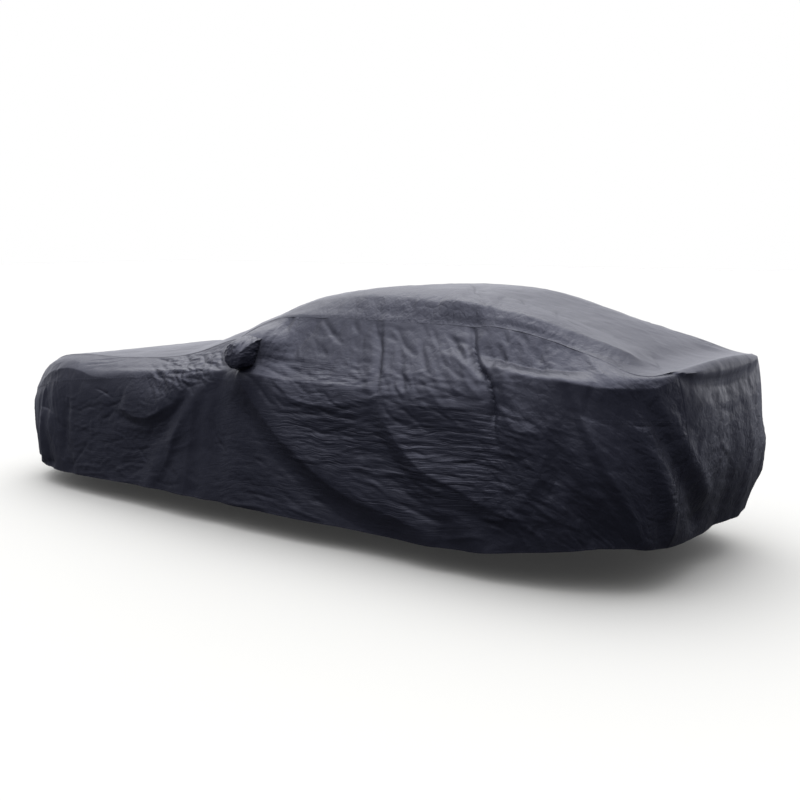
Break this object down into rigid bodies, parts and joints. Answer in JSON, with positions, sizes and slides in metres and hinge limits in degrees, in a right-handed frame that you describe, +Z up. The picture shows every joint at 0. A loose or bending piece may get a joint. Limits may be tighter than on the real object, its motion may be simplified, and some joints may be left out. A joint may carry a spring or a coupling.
{
  "type": "fitted car cover",
  "caption": "Fitted car cover of thin dark cloth in the uneven draped shape it takes over a fastback saloon, hollow inside and open below, with sewn mirror pockets",
  "frame": {"origin": "just under the top of the roof, on the cover's centre line, where it rests on what it covers", "axes": "+X runs from nose to tail, +Y to the cover's right side, +Z up"},
  "size_m": [4.6995, 2.14, 1.2715],
  "materials": {
    "top_panel": "semi-gloss woven synthetic",
    "upper_side_left": "semi-gloss woven synthetic",
    "upper_side_right": "semi-gloss woven synthetic",
    "lower_side_left": "semi-gloss woven synthetic",
    "lower_side_right": "semi-gloss woven synthetic",
    "mirror_pocket_left": "semi-gloss woven synthetic",
    "mirror_pocket_right": "semi-gloss woven synthetic"
  },
  "bodies": {
    "root": {"top_panel": "top_panel", "upper_side_left": "upper_side_left", "upper_side_right": "upper_side_right", "lower_side_left": "lower_side_left", "lower_side_right": "lower_side_right", "mirror_pocket_left": "mirror_pocket_left", "mirror_pocket_right": "mirror_pocket_right"}
  },
  "joints": []
}
